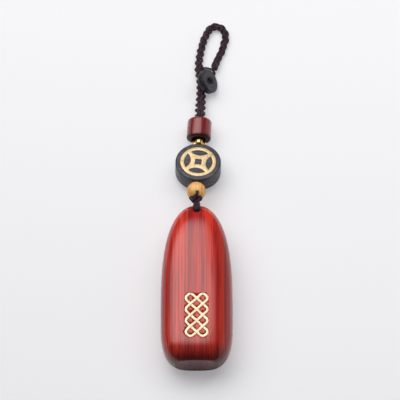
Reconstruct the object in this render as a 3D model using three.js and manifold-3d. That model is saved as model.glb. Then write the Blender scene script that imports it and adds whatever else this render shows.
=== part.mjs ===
// Amulet keychain: a red wooden tablet on a short double cord, a string of beads and a braided rope loop.
// Millimetres, +Z up. It lies on a table at z = 0, the tablet's flat end towards -Y, the loop towards +Y.
// The origin is on the table, under the tablet's widest place.

import * as THREE from 'three';
import { mergeVertices } from 'three/addons/utils/BufferGeometryUtils.js';
import Module from 'manifold-3d';

const wasm = await Module();
wasm.setup();

// Tablet
const tabletLength = 72;
const tabletWidth = 30;
const tabletThickness = 18;
const bellyFromEnd = 20; // from the flat end up to the widest place
const dressedDepth = 0.35; // how deep the front and the back are dressed flat
const hangHoleDiameter = 2.8;
const hangHoleFromTip = 3.4;

// Gilded endless knot let into the front
const ornamentWidth = 10;
const ornamentStroke = 1.1;
const ornamentCorner = 1.5; // radius of the outer loops
const ornamentFromEnd = 9; // from the flat end up to its lowest loop
const inlayDepth = 0.6;
const inlayClearance = 0.12;

// Hang cord and knot
const hangCordDiameter = 1.1;
const hangCordGap = 0.2; // between the two strands
const knotWidth = 5.2;
const knotThickness = 3.2;
const knotBeyondTip = 1.9;
const knotAboveMiddle = 3.4;
const knotAside = -0.45;
const tailDiameter = 1.2;

// Beads
const beadGap = 0.2; // between neighbours on the string
const discGap = 0.35; // between the round bead and the disc's leaning wall
const beadBore = 2.4;
const mouthDiameter = 6.2; // where the strands spread out of a bore
const mouthDepth = 3;
const roundBeadDiameter = 8;
const discDiameter = 19;
const discThickness = 7.5;
const discRimRadius = 1.1;
const discAside = 0.6;
const coinDiameter = 15;
const coinRingWidth = 1.55;
const coinSquareShare = 0.19; // of the coin's diameter
const leafDepthShare = 0.47; // of the ring's inner radius
const goldBeadDiameter = 3;
const goldBeadLength = 2.6;
const goldBeadBore = 1.4;
const goldBeadsBelow = 0.1; // the string's sag at the gold beads
const barrelDiameter = 10;
const barrelLength = 8.4;
const barrelEdgeRadius = 1.3;
const barrelAside = 0.8;
const strandDiameter = 0.8;
const strandOffset = 0.6; // from the middle of a bore to a strand's own middle
const strandInward = 0.15; // how far a strand sits inward in its gold bead

// Braided rope
const ropeWidth = 3.8;
const ropeThickness = 2.8;
const cordGap = 0.3; // between a cord's end and what it meets

// Button, its cord and its loop
const buttonDiameter = 10.6;
const buttonThickness = 3.1;
const buttonRimRadius = 0.9;
const buttonAside = 3.1; // from the rope's start to the middle of the button
const buttonAlong = 15.75;
const buttonBore = 1.8;
const buttonDimpleDiameter = 3.6; // in the face, for the knot
const buttonDimpleDepth = 0.6;
const buttonFunnelDiameter = 5; // in the back, where the cord comes in from the side
const buttonFunnelDepth = 1.3;
const buttonKnotWidth = 2.7;
const buttonKnotHeight = 1.7;
const neckCordDiameter = 0.8;
const buttonholeCordDiameter = 0.8;

// Angles
const degree = Math.PI / 180;
const discTilt = 12.5 * degree; // the loop side of the disc lies lower
const discTurn = -3.5 * degree;
const barrelTurn = -3.5 * degree;
const coinTurn = -4.5 * degree;
const leafHalfAngle = 36.9 * degree; // round the coin's middle, below 45 degrees
const buttonLean = 54 * degree;
const buttonTurn = 4 * degree;

// Exponents of the rounded outlines: 2 is an ellipse, higher is squarer
const tipAlong = 3.2;
const tipAcross = 2.1;
const endCurve = 3.2;
const sectionCurve = 2.7;
const endFaceShare = 0.6; // of the widest section, where the flat end begins

// Overrun of every cut, and the distance within which vertices are one
const overrun = 0.5;
const weld = 1e-4;

// Colours
const rosewood = new THREE.MeshStandardMaterial({ color: 0x9c2a1c, roughness: 0.3, metalness: 0 });
const crimsonWood = new THREE.MeshStandardMaterial({ color: 0x7c1a1c, roughness: 0.3, metalness: 0 });
const orangeWood = new THREE.MeshStandardMaterial({ color: 0xdd9048, roughness: 0.45, metalness: 0 });
const ebony = new THREE.MeshStandardMaterial({ color: 0x3c3b42, roughness: 0.5, metalness: 0 });
const gilding = new THREE.MeshStandardMaterial({ color: 0xf2dfa4, roughness: 0.45, metalness: 0.3 });
const goldMetal = new THREE.MeshStandardMaterial({ color: 0xe6b84a, roughness: 0.2, metalness: 1 });
const darkCord = new THREE.MeshStandardMaterial({ color: 0x35242b, roughness: 0.8, metalness: 0 });
const darkButton = new THREE.MeshStandardMaterial({ color: 0x3a3b42, roughness: 0.55, metalness: 0 });

const model = new THREE.Group();

function point(x, y, z) {
  return new THREE.Vector3(x, y, z);
}

function addPiece(name, geometry, material, parent = model) {
  const mesh = new THREE.Mesh(geometry, material);
  mesh.name = name;
  parent.add(mesh);
  return mesh;
}

// A frame whose own +Y runs along the string: pitch lifts it, turn swings it round the vertical.
function stringFrame(place, pitch, turn) {
  const frame = new THREE.Group();
  frame.position.copy(place);
  frame.rotation.set(pitch, 0, turn, 'ZXY');
  model.add(frame);
  frame.updateMatrixWorld(true);
  return frame;
}

// Solids for cutting and joining
function solidOf(geometry) {
  const bare = geometry.clone();
  bare.deleteAttribute('normal');
  bare.deleteAttribute('uv');
  const merged = mergeVertices(bare, weld);
  return new wasm.Manifold(new wasm.Mesh({
    numProp: 3,
    vertProperties: new Float32Array(merged.attributes.position.array),
    triVerts: new Uint32Array(merged.index.array),
  }));
}

function geometryOf(solid) {
  const mesh = solid.getMesh();
  const geometry = new THREE.BufferGeometry();
  geometry.setAttribute('position', new THREE.BufferAttribute(new Float32Array(mesh.vertProperties), 3));
  geometry.setIndex(new THREE.BufferAttribute(new Uint32Array(mesh.triVerts), 1));
  geometry.computeVertexNormals();
  return geometry;
}

function joined(...geometries) {
  return geometryOf(geometries.map(solidOf).reduce((whole, next) => whole.add(next)));
}

function cut(geometry, ...tools) {
  return geometryOf(tools.map(solidOf).reduce((left, tool) => left.subtract(tool), solidOf(geometry)));
}

// A surface through closed rings of equal count, closed by a fan to a middle point at each end
function ringSurface(rings, middles) {
  const count = rings[0].length;
  const vertices = [...rings.flat(), ...middles].flatMap((p) => p.toArray());
  const first = rings.length * count;
  const index = [];
  for (let j = 0; j < count; j += 1) {
    const k = (j + 1) % count;
    const last = (rings.length - 1) * count;
    for (let i = 0; i < rings.length - 1; i += 1) {
      const near = i * count;
      const far = near + count;
      index.push(near + j, far + j, near + k, near + k, far + j, far + k);
    }
    index.push(first, j, k, first + 1, last + k, last + j);
  }
  const geometry = new THREE.BufferGeometry();
  geometry.setAttribute('position', new THREE.Float32BufferAttribute(vertices, 3));
  geometry.setIndex(index);
  geometry.computeVertexNormals();
  return geometry;
}

// How high the middle of a disc with rounded rims lies when it leans on its rim
function restHeight(diameter, thickness, rim, lean) {
  return (diameter / 2 - rim) * Math.sin(lean) + (thickness / 2 - rim) * Math.cos(lean) + rim;
}

// A profile turned about the Y axis: [radius, height] pairs, going up on the outside
function turned(profile, segments) {
  return new THREE.LatheGeometry(profile.map(([r, h]) => new THREE.Vector2(r, h)), segments);
}

// Points on an arc in the profile plane
function arc(centreR, centreH, radius, from, to, steps) {
  const points = [];
  for (let i = 0; i <= steps; i += 1) {
    const angle = from + ((to - from) * i) / steps;
    points.push([centreR + radius * Math.cos(angle), centreH + radius * Math.sin(angle)]);
  }
  return points;
}

// A cord: an elliptic section swept along a smooth curve through the points
function cord(points, width, thickness, sides, steps) {
  const section = new THREE.Shape();
  for (let i = 0; i < sides; i += 1) {
    const angle = ((i + 1 / 2) / sides) * 2 * Math.PI;
    const x = (width / 2) * Math.cos(angle);
    const y = (thickness / 2) * Math.sin(angle);
    if (i === 0) section.moveTo(x, y);
    else section.lineTo(x, y);
  }
  section.closePath();
  const path = new THREE.CatmullRomCurve3(points, false, 'centripetal');
  return new THREE.ExtrudeGeometry(section, { steps, bevelEnabled: false, extrudePath: path });
}

function cylinderAlong(radius, length, segments) {
  return new THREE.CylinderGeometry(radius, radius, length, segments);
}

// Tablet: sections shaped like a squared ellipse, one size share s along the length, 1 at the belly
const tipLength = tabletLength - bellyFromEnd;
const middleHeight = tabletThickness / 2;
const hangHoleY = tipLength - hangHoleFromTip;

function signedPower(value, power) {
  return Math.sign(value) * Math.abs(value) ** power;
}

function tabletRing(y, share, count) {
  const ring = [];
  for (let j = 0; j < count; j += 1) {
    const angle = ((j + 1 / 2) / count) * 2 * Math.PI;
    const x = (tabletWidth / 2) * share * signedPower(Math.cos(angle), 2 / sectionCurve);
    const crown = (middleHeight + dressedDepth) * share * signedPower(Math.sin(angle), 2 / sectionCurve);
    const z = THREE.MathUtils.clamp(crown, -middleHeight, middleHeight);
    ring.push(point(x, y, middleHeight + z));
  }
  return ring;
}

function tabletBody() {
  const count = 36;
  const endRings = 8;
  const tipRings = 16;
  const quarter = Math.PI / 2;
  const rings = [];
  const lastAngle = Math.acos(endFaceShare ** (endCurve / 2));
  for (let i = endRings; i > 0; i -= 1) {
    const angle = (lastAngle * i) / endRings;
    const along = (Math.sin(angle) / Math.sin(lastAngle)) ** (2 / endCurve);
    rings.push(tabletRing(-bellyFromEnd * along, Math.cos(angle) ** (2 / endCurve), count));
  }
  for (let i = 0; i < tipRings; i += 1) {
    const angle = (quarter * i) / tipRings;
    const share = Math.cos(angle) ** (2 / tipAcross);
    rings.push(tabletRing(tipLength * Math.sin(angle) ** (2 / tipAlong), share, count));
  }
  return ringSurface(rings, [point(0, -bellyFromEnd, middleHeight), point(0, tipLength, middleHeight)]);
}

// Endless knot: strokes at 45 degrees that turn back at the edges of a box two by four diamonds in size
const ornamentBox = [4, 8]; // in cells of half a diamond
const roundingLoss = ornamentCorner * (Math.SQRT2 - 1); // by which a round turn stays inside the box
const ornamentCell = (ornamentWidth - ornamentStroke + 2 * roundingLoss) / ornamentBox[0];
const ornamentHeight = ornamentBox[1] * ornamentCell - 2 * roundingLoss + ornamentStroke;

// Half of the round turn at one end of a rising stroke: points left and right of its middle line
function halfTurn(corner, facing, halfWidth) {
  const steps = 4;
  const left = facing === 1 || facing === 2;
  const outward = new THREE.Vector2(Math.cos((facing * Math.PI) / 2), Math.sin((facing * Math.PI) / 2));
  const centre = corner.clone().addScaledVector(outward, -ornamentCorner * Math.SQRT2);
  const tangent = (left ? 3 : -1) * (Math.PI / 4);
  const sides = [1, -1].map((side) => ornamentCorner + (left ? side : -side) * halfWidth);
  return Array.from({ length: steps + 1 }, (_, i) => {
    const angle = (facing * Math.PI) / 2 + ((tangent - (facing * Math.PI) / 2) * i) / steps;
    const spoke = new THREE.Vector2(Math.cos(angle), Math.sin(angle));
    return sides.map((radius) => centre.clone().addScaledVector(spoke, radius));
  });
}

// The strokes as separate solids, grown by a clearance, with their upper face at a height
function ornamentStrokes(grow, depth, top) {
  const [across, up] = ornamentBox;
  const halfWidth = ornamentStroke / 2 + grow;
  const place = (x, y) => new THREE.Vector2((x - across / 2) * ornamentCell, (y - up / 2) * ornamentCell);
  const strokes = [];
  for (let c = 1 - across; c < up; c += 2) {
    const from = Math.max(0, -c);
    const to = Math.min(across, up - c);
    const start = halfTurn(place(from, from + c), from === 0 ? 2 : -1, halfWidth);
    const end = halfTurn(place(to, to + c), to === across ? 0 : 1, halfWidth).reverse();
    const pairs = [...start, ...end];
    const outline = [...pairs.map(([left]) => left), ...pairs.map(([, right]) => right).reverse()];
    [1, -1].forEach((side) => {
      const shape = new THREE.Shape(outline.map((p) => new THREE.Vector2(side * p.x, p.y)));
      strokes.push(new THREE.ExtrudeGeometry(shape, { depth, bevelEnabled: false }));
    });
  }
  const y = -bellyFromEnd + ornamentFromEnd + ornamentHeight / 2;
  return strokes.map((stroke) => stroke.translate(0, y, top - depth));
}

const hangHole = cylinderAlong(hangHoleDiameter / 2, tabletThickness + 2 * overrun, 24)
  .rotateX(Math.PI / 2)
  .translate(0, hangHoleY, middleHeight);
const pocketDepth = inlayDepth + inlayClearance + overrun;
const ornamentPocket = ornamentStrokes(inlayClearance, pocketDepth, tabletThickness + overrun);
addPiece('pendant_body', cut(tabletBody(), hangHole, ...ornamentPocket), rosewood);
addPiece('gold_knot_inlay', joined(...ornamentStrokes(0, inlayDepth, tabletThickness)), gilding);

// Hang cord: two strands side by side, out of the knot, through the hole and back round the tip
const tip = point(0, tipLength, middleHeight);
const knotPlace = tip.clone().add(point(knotAside, knotBeyondTip, knotAboveMiddle));
const hangCordRoute = [
  [0.05, 4.0], [-1.3, 4.65], [-2.4, 5.0], [-3.15, 4.65], [-3.4, 3.8], [-3.4, 0], [-3.4, -3.8],
  [-3.15, -4.7], [-2.4, -5.1], [-1.1, -4.8], [0.1, -4], [0.95, -2.6], [1.35, -1.1], [1.4, 0.2], [1.6, 1.4],
]; // beyond the tip, above the tablet's middle

function hangCord(side) {
  const x = side * (hangCordDiameter + hangCordGap) / 2;
  const route = hangCordRoute.map(([y, z]) => tip.clone().add(point(x, y, z)));
  return cord(route, hangCordDiameter, hangCordDiameter, 8, 30);
}

addPiece('hang_cord_left', hangCord(-1), darkCord);
addPiece('hang_cord_right', hangCord(1), darkCord);

function knot() {
  const ball = new THREE.SphereGeometry(knotThickness / 2, 16, 10);
  return ball.rotateZ(Math.PI / 2).scale(knotWidth / knotThickness, 1, 1);
}

addPiece('hang_knot', knot(), darkCord).position.copy(knotPlace);

// String of beads: it leaves the knot, and its places follow from what each bead rests on
const discRadius = discDiameter / 2;
const discRest = restHeight(discDiameter, discThickness, discRimRadius, discTilt);
const discAlong = point(-Math.sin(discTurn), Math.cos(discTurn), 0).multiplyScalar(Math.cos(discTilt))
  .add(point(0, 0, -Math.sin(discTilt)));
const nearMouthZ = discRest + discRadius * Math.sin(discTilt);
const nearMouthX = discAside - discRadius * discAlong.x;
const knotToDisc = knotThickness / 2 + beadGap + roundBeadDiameter + discGap;
const nearMouthY = knotPlace.y
  + Math.sqrt(knotToDisc ** 2 - (knotPlace.z - nearMouthZ) ** 2 - (knotPlace.x - nearMouthX) ** 2);
const nearMouth = point(nearMouthX, nearMouthY, nearMouthZ);
const firstAlong = nearMouth.clone().sub(knotPlace).normalize();
const roundBeadPlace = knotPlace.clone()
  .addScaledVector(firstAlong, knotThickness / 2 + beadGap + roundBeadDiameter / 2);
const discPlace = nearMouth.clone().addScaledVector(discAlong, discRadius);
const farMouth = discPlace.clone().addScaledVector(discAlong, discRadius);

// Three gold beads touch one another round the string; the upper one stays clear of the disc's leaning rim
const goldRing = (goldBeadDiameter + beadGap) / Math.sqrt(3);
const goldZ = (farMouth.z + barrelDiameter / 2) / 2 - goldBeadsBelow;
const goldY = farMouth.y + (goldZ + goldRing - farMouth.z) * Math.tan(discTilt)
  + (goldBeadLength / 2 + beadGap) / Math.cos(discTilt);
const goldPlace = point((farMouth.x + barrelAside) / 2, goldY, goldZ);
const barrelAlong = point(-Math.sin(barrelTurn), Math.cos(barrelTurn), 0);
const barrelPlace = point(barrelAside, goldY + goldBeadLength / 2 + beadGap, barrelDiameter / 2)
  .addScaledVector(barrelAlong, barrelLength / 2);

const roundFrame = stringFrame(roundBeadPlace, Math.asin(firstAlong.z), -Math.asin(firstAlong.x));
const discFrame = stringFrame(discPlace, -discTilt, discTurn);
const goldFrame = stringFrame(goldPlace, 0, barrelTurn);
const barrelFrame = stringFrame(barrelPlace, 0, barrelTurn);

// A ball with a bore along Y, stretched to its length
function boredBall(diameter, length, bore, segments, steps) {
  const from = Math.acos(bore / diameter);
  const outer = arc(0, 0, diameter / 2, -from, from, steps).map(([r, h]) => [r, (h * length) / diameter]);
  return turned([...outer, outer[0]], segments);
}

const roundBead = boredBall(roundBeadDiameter, roundBeadDiameter, beadBore, 28, 12);
addPiece('round_bead', roundBead, orangeWood, roundFrame);

function boreTool(length) {
  return cylinderAlong(beadBore / 2, length + 2 * overrun, 20);
}

// The wide mouth of a bore, cut into the end at height y, opening towards side +1 or -1
function mouthTool(y, side) {
  const profile = [
    [0, -mouthDepth], [beadBore / 2, -mouthDepth], [mouthDiameter / 2, 0],
    [mouthDiameter / 2, overrun], [0, overrun],
  ];
  const tool = turned(profile, 20);
  if (side < 0) tool.rotateX(Math.PI);
  return tool.translate(0, y, 0);
}

// A disc with rounded rims, its axis along Z
function roundedDisc(diameter, thickness, rim, segments) {
  const r = diameter / 2 - rim;
  const h = thickness / 2 - rim;
  const quarter = Math.PI / 2;
  const profile = [
    [0, -thickness / 2], ...arc(r, -h, rim, -quarter, 0, 3),
    ...arc(r, h, rim, 0, quarter, 3), [0, thickness / 2],
  ];
  return turned(profile, segments).rotateX(quarter);
}

// Old coin: a ring, four leaf openings and a square hole
function leafPath(shrink) {
  const ring = coinDiameter / 2 - coinRingWidth;
  const inner = ring - shrink;
  const half = ring * Math.sin(leafHalfAngle) - 2 * shrink;
  const chord = Math.sqrt(inner ** 2 - half ** 2);
  const rise = ring * leafDepthShare - 2 * shrink - (inner - chord);
  const radius = (half ** 2 + rise ** 2) / (2 * rise);
  const outerAngle = Math.asin(half / inner);
  const innerAngle = Math.asin(half / radius);
  return { inner, radius, outerAngle, innerAngle, centre: chord - rise + radius };
}

function coinShape(grow) {
  const coin = new THREE.Shape();
  coin.absarc(0, 0, coinDiameter / 2 + grow, 0, 2 * Math.PI, false);
  const leaf = leafPath(grow);
  for (let i = 0; i < 4; i += 1) {
    const facing = (i * Math.PI) / 2;
    const hole = new THREE.Path();
    hole.absarc(0, 0, leaf.inner, facing - leaf.outerAngle, facing + leaf.outerAngle, false);
    const x = leaf.centre * Math.cos(facing);
    const y = leaf.centre * Math.sin(facing);
    const back = facing + Math.PI;
    hole.absarc(x, y, leaf.radius, back - leaf.innerAngle, back + leaf.innerAngle, false);
    coin.holes.push(hole);
  }
  const s = (coinDiameter * coinSquareShare) / 2 - grow;
  coin.holes.push(new THREE.Path([
    new THREE.Vector2(-s, -s), new THREE.Vector2(s, -s), new THREE.Vector2(s, s), new THREE.Vector2(-s, s),
  ]));
  return coin;
}

function coin(grow, depth) {
  const options = { depth, bevelEnabled: false, curveSegments: 10 };
  return new THREE.ExtrudeGeometry(coinShape(grow), options).rotateZ(coinTurn);
}

const discTop = discThickness / 2;
const coinPocket = coin(inlayClearance, pocketDepth).translate(0, 0, discTop - inlayDepth - inlayClearance);
const discBead = cut(
  roundedDisc(discDiameter, discThickness, discRimRadius, 48),
  boreTool(discDiameter),
  mouthTool(discRadius, 1),
  coinPocket,
);
addPiece('disc_bead', discBead, ebony, discFrame);
addPiece('coin_inlay', coin(0, inlayDepth).translate(0, 0, discTop - inlayDepth), gilding, discFrame);

// Directions of the three strands round the string, the first one on top
const strandAngles = [90, 210, 330].map((angle) => angle * degree);

strandAngles.forEach((angle, i) => {
  const bead = boredBall(goldBeadDiameter, goldBeadLength, goldBeadBore, 16, 6);
  addPiece(`gold_bead_${i + 1}`, bead, goldMetal, goldFrame)
    .position.set(goldRing * Math.cos(angle), 0, goldRing * Math.sin(angle));
});

function barrel() {
  const r = barrelDiameter / 2 - barrelEdgeRadius;
  const h = barrelLength / 2 - barrelEdgeRadius;
  const quarter = Math.PI / 2;
  const profile = [
    [0, -barrelLength / 2], ...arc(r, -h, barrelEdgeRadius, -quarter, 0, 3),
    ...arc(r, h, barrelEdgeRadius, 0, quarter, 3), [0, barrelLength / 2],
  ];
  return cut(turned(profile, 36), boreTool(barrelLength), mouthTool(-barrelLength / 2, -1));
}

addPiece('barrel_bead', barrel(), crimsonWood, barrelFrame);

// Strands: bundled in the bores, spread at the gold beads, each through its own one
const goldOffset = goldRing - strandInward;
const spreadOffset = (strandOffset + goldOffset) / 2;
const bundleStraight = mouthDepth + strandDiameter; // the strands begin to spread where the mouth does

function strandRoute(angle) {
  const stations = [
    [roundFrame, -roundBeadDiameter / 2, strandOffset],
    [roundFrame, 0, strandOffset],
    [roundFrame, roundBeadDiameter / 2 - strandDiameter, strandOffset],
    [discFrame, strandDiameter - discRadius, strandOffset],
    [discFrame, 0, strandOffset],
    [discFrame, discRadius - bundleStraight, strandOffset],
    [discFrame, discRadius - mouthDepth, strandOffset],
    [discFrame, discRadius - mouthDepth / 2, spreadOffset],
    [goldFrame, -goldBeadLength / 2, goldOffset],
    [goldFrame, 0, goldOffset],
    [goldFrame, goldBeadLength / 2, goldOffset],
    [barrelFrame, (mouthDepth - barrelLength) / 2, spreadOffset],
    [barrelFrame, mouthDepth - barrelLength / 2, strandOffset],
    [barrelFrame, bundleStraight - barrelLength / 2, strandOffset],
    [barrelFrame, barrelLength / 2, strandOffset],
  ];
  return stations.map(([frame, y, r]) =>
    frame.localToWorld(point(r * Math.cos(angle), y, r * Math.sin(angle))));
}

strandAngles.forEach((angle, i) => {
  addPiece(`strand_${i + 1}`, cord(strandRoute(angle), strandDiameter, strandDiameter, 8, 36), darkCord);
});

// Knot tail: a short cut end that stands up in front of the round bead
const tailRoute = [[0.3, 0.85, 2.05], [0.35, 1.8, 2.35], [0.1, 3.0, 2.2]]; // from the middle of the knot
const tailPoints = tailRoute.map(([x, y, z]) => knotPlace.clone().add(point(x, y, z)));
addPiece('knot_tail', cord(tailPoints, tailDiameter, tailDiameter, 8, 5), darkCord);

// Braided rope: its round start turns in front of the barrel's bore, its far end carries the button
const barrelToRope = barrelLength / 2 + cordGap + ropeWidth / 2;
const ropeStart = barrelPlace.clone().addScaledVector(barrelAlong, barrelToRope);
const ropeRoute = [
  [0, 0, 3.6], [0.15, 3, 2.6], [0.35, 6.6, 0.9], [0.45, 10.7, 0], [0.4, 14.7, 0], [0.1, 18.7, 0],
  [-0.55, 21.9, 0], [-0.6, 24.3, 0], [-0.4, 27.1, 0], [0.1, 30.5, 0], [0.9, 34, 0], [1.6, 36.6, 0],
  [2.6, 38.7, 0], [3.8, 41, 0], [5.5, 42.3, 0], [7.6, 42.3, 0], [9.5, 41, 0], [10.6, 38.7, 0],
  [10.75, 36.4, 0], [10.1, 34.3, 0], [9.5, 31.6, 0], [8.2, 28.9, 0.1], [7.1, 26.4, 0.4],
  [6.3, 24, 0.9], [5.9, 22.7, 1.15], [5.75, 22.1, 1.2],
]; // from the rope's start, and the height above where it lies on the table

// A place beside the rope: across and along from its start, and up from the table
function besideRope([x, y, z]) {
  return point(ropeStart.x + x, ropeStart.y + y, z);
}

function braidedRope() {
  const start = new THREE.SphereGeometry(ropeWidth / 2, 16, 8).translate(...ropeStart.toArray());
  const route = ropeRoute.map(([x, y, z]) => besideRope([x, y, z + ropeThickness / 2]));
  const length = cord(route, ropeWidth, ropeThickness, 8, 52);
  return joined(length, start);
}

addPiece('braided_rope', braidedRope(), darkCord);

// Button: leans on the rope, turns on the neck cord that runs through it
const buttonRest = restHeight(buttonDiameter, buttonThickness, buttonRimRadius, buttonLean);
const buttonFrame = new THREE.Group();
buttonFrame.position.copy(besideRope([buttonAside, buttonAlong, buttonRest]));
buttonFrame.rotation.set(0, buttonLean, buttonTurn, 'ZYX');
model.add(buttonFrame);
buttonFrame.updateMatrixWorld(true);

// A funnel along Z, its wide end at z = 0 and open upwards
function funnel(narrow, wide, depth) {
  const profile = [[0, -depth], [narrow / 2, -depth], [wide / 2, 0], [wide / 2, overrun], [0, overrun]];
  return turned(profile, 20).rotateX(Math.PI / 2);
}

function button() {
  const face = buttonThickness / 2;
  const bore = cylinderAlong(buttonBore / 2, buttonThickness + 2 * overrun, 20).rotateX(Math.PI / 2);
  const dimple = funnel(buttonBore, buttonDimpleDiameter, buttonDimpleDepth).translate(0, 0, face);
  const back = funnel(buttonBore, buttonFunnelDiameter, buttonFunnelDepth)
    .rotateX(Math.PI)
    .translate(0, 0, -face);
  return cut(roundedDisc(buttonDiameter, buttonThickness, buttonRimRadius, 36), bore, dimple, back);
}

addPiece('button', button(), darkButton, buttonFrame);

// The knot stands on the edge of the dimple
const buttonKnotRise = buttonThickness / 2 + buttonKnotHeight / 2 - buttonDimpleDepth / 2 + cordGap;

function buttonKnot() {
  const ball = new THREE.SphereGeometry(buttonKnotWidth / 2, 16, 10).rotateX(Math.PI / 2);
  return ball.scale(1, 1, buttonKnotHeight / buttonKnotWidth);
}

addPiece('button_knot', buttonKnot(), darkCord, buttonFrame).position.set(0, 0, buttonKnotRise);

// Neck cord: from the rope's end round the button's rim, under the button and in at its back
const neckRoute = [
  [5.66, 21.7, 1.9], [5.55, 21.3, 1.75], [5.35, 20.8, 1.45],
  [5.2, 20.4, 1.15], [4.7, 19.9, 0.8], [3.9, 19.5, 0.7],
];
const underButton = [
  [3.3, 3.3, -2.15], [2.4, 2.5, -2.18], [1.7, 1.6, -1.98], [1.05, 0.95, -1.5], [0.4, 0.35, -0.95],
]; // from the middle of the button

function neckCord() {
  const end = buttonKnotRise - buttonKnotHeight / 2 - cordGap;
  const alongAxis = [0, end / 2, end].map((z) => [0, 0, z]);
  const fromButton = [...underButton, ...alongAxis].map((p) => buttonFrame.localToWorld(point(...p)));
  return cord([...neckRoute.map(besideRope), ...fromButton], neckCordDiameter, neckCordDiameter, 8, 30);
}

addPiece('neck_cord', neckCord(), darkCord);

// Buttonhole loop: leaves the stem, passes under the rope's end and round the neck cord, and comes back
const buttonholeRoute = [
  [2.1, 23.3, 1.8], [3.3, 23.45, 1.3], [4.6, 23.1, 0.75], [5.6, 22.4, 0.5],
  [6.2, 21.6, 0.55], [6.4, 20.95, 1.1], [6.3, 20.65, 1.8], [5.6, 20.62, 2.35],
  [4.6, 20.92, 2.5], [3.4, 21.6, 2.3], [2.1, 22.3, 2],
];

function buttonholeLoop() {
  return cord(buttonholeRoute.map(besideRope), buttonholeCordDiameter, buttonholeCordDiameter, 8, 30);
}

addPiece('buttonhole_loop', buttonholeLoop(), darkCord);

export default model;
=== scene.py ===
# %% [markdown]
# # An amulet keychain
# A red lacquered wooden tablet hangs on a string of beads, and a braided rope with a button makes the
# carrying loop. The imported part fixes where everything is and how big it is. This lesson gives each piece
# the shape and finish of the real one.

# %% Load the part
import math

import bmesh
import bpy
from mathutils import Matrix, Vector


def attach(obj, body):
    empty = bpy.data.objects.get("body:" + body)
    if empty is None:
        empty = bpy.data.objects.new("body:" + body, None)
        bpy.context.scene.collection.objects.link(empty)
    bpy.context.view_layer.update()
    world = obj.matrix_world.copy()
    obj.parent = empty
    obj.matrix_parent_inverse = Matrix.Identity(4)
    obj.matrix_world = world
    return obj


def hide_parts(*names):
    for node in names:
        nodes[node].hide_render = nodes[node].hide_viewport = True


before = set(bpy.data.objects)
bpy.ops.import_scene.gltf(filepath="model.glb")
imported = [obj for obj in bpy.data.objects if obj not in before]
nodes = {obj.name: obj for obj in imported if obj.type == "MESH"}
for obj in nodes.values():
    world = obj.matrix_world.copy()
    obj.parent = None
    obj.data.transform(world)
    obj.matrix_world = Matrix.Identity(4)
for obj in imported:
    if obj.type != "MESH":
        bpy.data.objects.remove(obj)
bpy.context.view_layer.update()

mm = 0.001
print("nodes in the part:", len(nodes))

# %% [markdown]
# ## The camera
# The photograph looks down at 66 degrees from far away, with hardly any perspective. A very long lens at
# six and a half metres gives that. The camera comes first, because the rope must lie inside its view.

# %% Camera
view_width = 166.7 * mm
camera_distance = 6.5
elevation = math.radians(66)
looks_at = Vector((1.375, 59.13, 0)) * mm
towards_camera = Vector((0, -math.cos(elevation), math.sin(elevation)))
bpy.ops.object.camera_add(
    location=looks_at + towards_camera * camera_distance, rotation=(math.pi / 2 - elevation, 0, 0)
)
camera = bpy.context.object
camera.data.lens = camera.data.sensor_width * camera_distance / view_width
camera.data.clip_end = 20
bpy.context.scene.camera = camera
bpy.context.scene.view_settings.view_transform = "Standard"
print("lens:", round(camera.data.lens), "mm")

# %% [markdown]
# ## Helpers for materials
# A finish is a Principled shader with a few pattern nodes before it. These helpers keep each recipe short:
# they make the material, add a node and join it up, add a colour ramp, a sum, noise or a place on the piece,
# and lead the result into the shader.


# %% Material helpers
def new_finish(name, **sockets):
    material = bpy.data.materials.new(name)
    material.use_nodes = True
    shader = material.node_tree.nodes["Principled BSDF"]
    for socket, value in sockets.items():
        shader.inputs[socket.replace("_", " ")].default_value = value
    return material


def add_node(material, kind, inputs, **settings):
    made = material.node_tree.nodes.new(kind)
    for name, value in settings.items():
        setattr(made, name, value)
    for name, value in inputs.items():
        if isinstance(value, bpy.types.NodeSocket):
            material.node_tree.links.new(value, made.inputs[name])
        else:
            made.inputs[name].default_value = value
    return made


def add_ramp(material, factor, stops):
    made = add_node(material, "ShaderNodeValToRGB", {"Fac": factor})
    elements = made.color_ramp.elements
    while len(elements) < len(stops):
        elements.new(0.5)
    for element, (position, colour) in zip(elements, stops):
        element.position = position
        element.color = (*colour, 1)
    return made.outputs["Color"]


def maths(material, operation, first, second=0.0, third=0.0):
    made = add_node(material, "ShaderNodeMath", {0: first, 1: second, 2: third}, operation=operation)
    return made.outputs[0]


def noise(material, vector, scale, detail=3.0, distortion=0.0):
    inputs = {"Vector": vector, "Scale": scale, "Detail": detail, "Distortion": distortion}
    return add_node(material, "ShaderNodeTexNoise", inputs).outputs["Fac"]


def object_place(material, scale=(1, 1, 1)):
    place = add_node(material, "ShaderNodeTexCoord", {}).outputs["Object"]
    return add_node(material, "ShaderNodeMapping", {"Vector": place, "Scale": scale}).outputs["Vector"]


def ramp_along(material, axis, low_place, high_place, low, high):
    """A number that goes from low to high between two places along an axis of the piece, in metres."""
    place = add_node(material, "ShaderNodeTexCoord", {}).outputs["Object"]
    place = add_node(material, "ShaderNodeSeparateXYZ", {"Vector": place}).outputs[axis]
    inputs = {"Value": place, 1: low_place, 2: high_place, 3: low, 4: high}
    return add_node(material, "ShaderNodeMapRange", inputs).outputs[0]


def into_shader(material, socket, value):
    shader = material.node_tree.nodes["Principled BSDF"]
    material.node_tree.links.new(value, shader.inputs[socket])


def add_bump(material, height, distance):
    inputs = {"Height": height, "Distance": distance, "Strength": 1.0}
    into_shader(material, "Normal", add_node(material, "ShaderNodeBump", inputs).outputs["Normal"])


# %% [markdown]
# ## Thread
# All the cords are dark braided or twisted thread. Each thread is a thin tube, and its surface shows finer
# fibres that run round it in a screw. A UV map that runs round and along every tube lets the material draw
# those fibres, and they follow each bend.

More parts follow.
